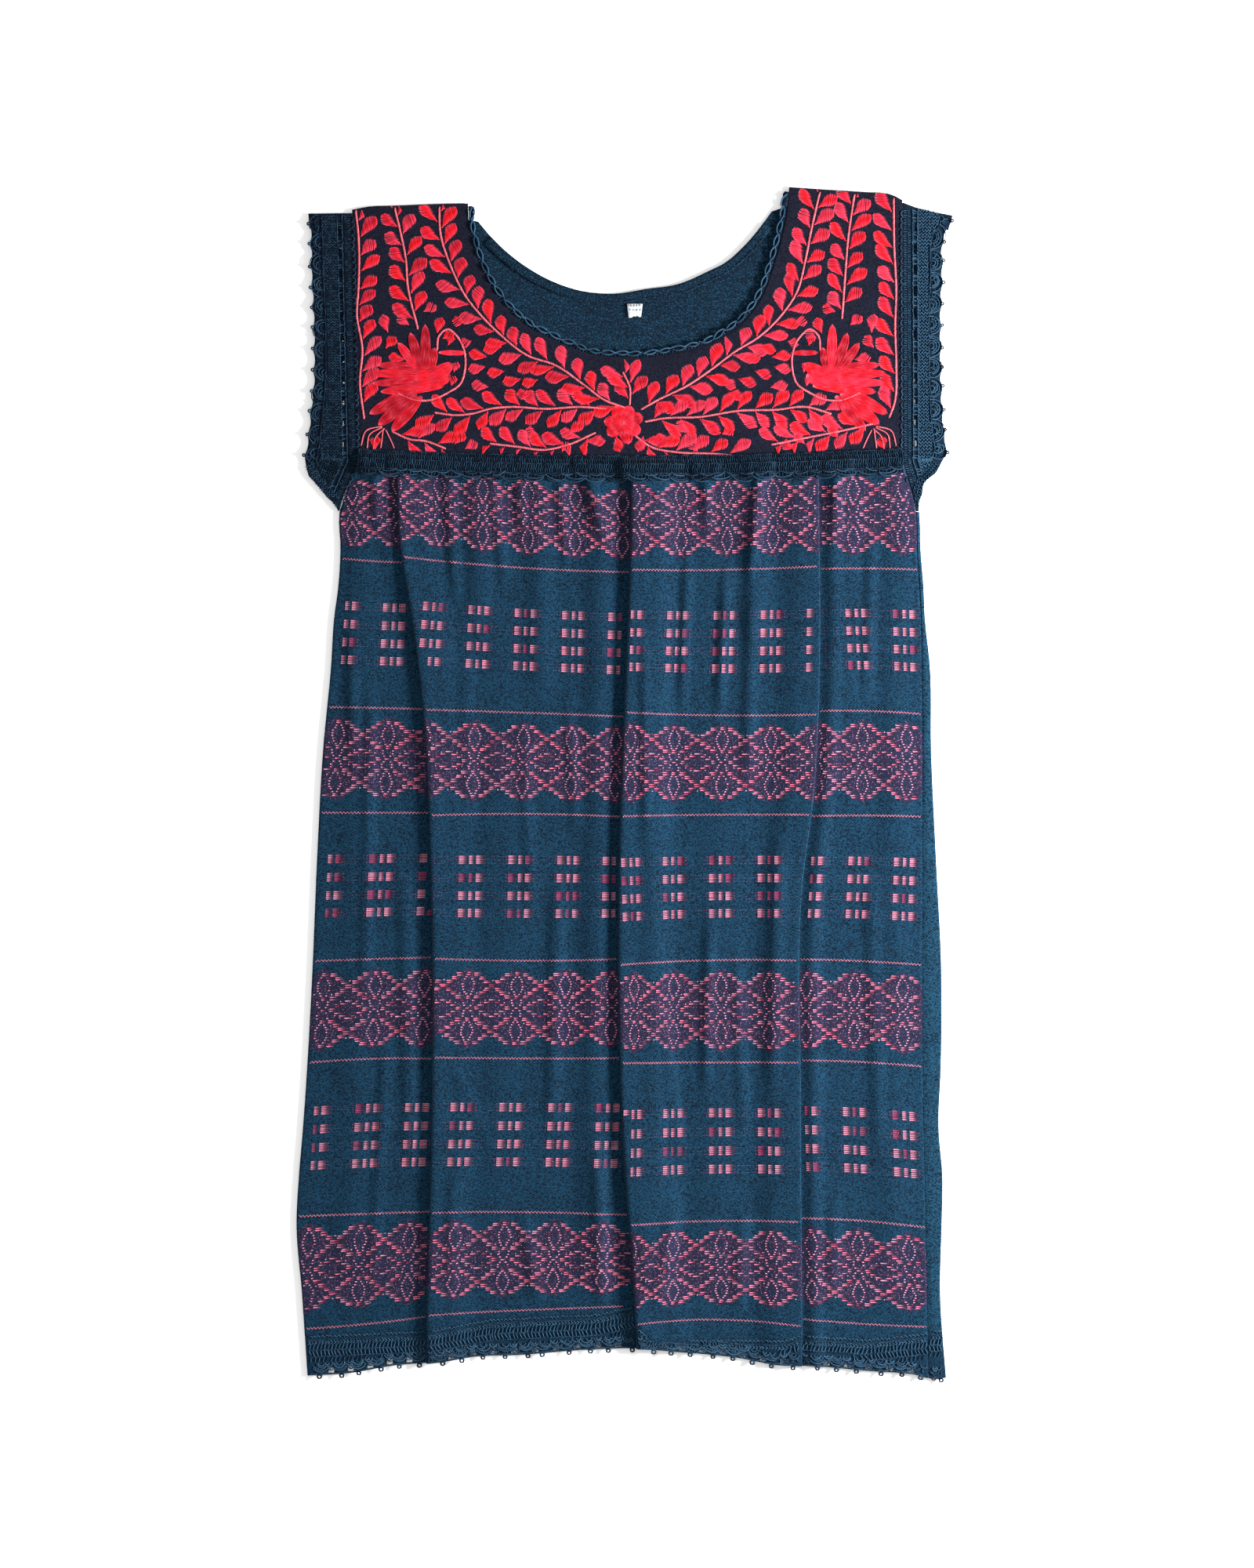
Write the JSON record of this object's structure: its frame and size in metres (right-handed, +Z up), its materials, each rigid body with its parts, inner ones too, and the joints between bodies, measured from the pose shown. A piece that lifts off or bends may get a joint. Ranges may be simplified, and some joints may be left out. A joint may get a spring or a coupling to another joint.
{
  "type": "handwoven dress",
  "caption": "Short-sleeved cotton dress laid flat, with an embroidered yoke, a brocaded gathered skirt and crocheted trims.",
  "frame": {"origin": "centre of the dress's outline, on the surface that it lies on", "axes": "+Z up out of the surface, with the front facing up; +Y from the hem towards the neck; +X towards the dress's right in the view from above"},
  "size_m": [0.5394, 0.9741, 0.0096],
  "materials": {
    "plain_cotton": "matte navy twill",
    "brocaded_cotton": "matte navy twill with mauve and pink brocading",
    "embroidered_cotton": "dark cotton under red satin stitch",
    "navy_crochet": "crocheted navy cotton thread",
    "label_cloth": "plain white woven tape"
  },
  "bodies": {
    "root": {"back_panel": "plain_cotton", "skirt_front": "brocaded_cotton", "yoke_front": "embroidered_cotton", "yoke_band": "navy_crochet", "sleeve_left_front": "navy_crochet", "sleeve_left_back": "navy_crochet", "sleeve_right_front": "navy_crochet", "sleeve_right_back": "navy_crochet", "hem_lace_front": "navy_crochet", "hem_lace_back": "navy_crochet", "neck_edging": "navy_crochet", "neck_facing": "plain_cotton", "neck_label": "label_cloth"}
  },
  "joints": []
}
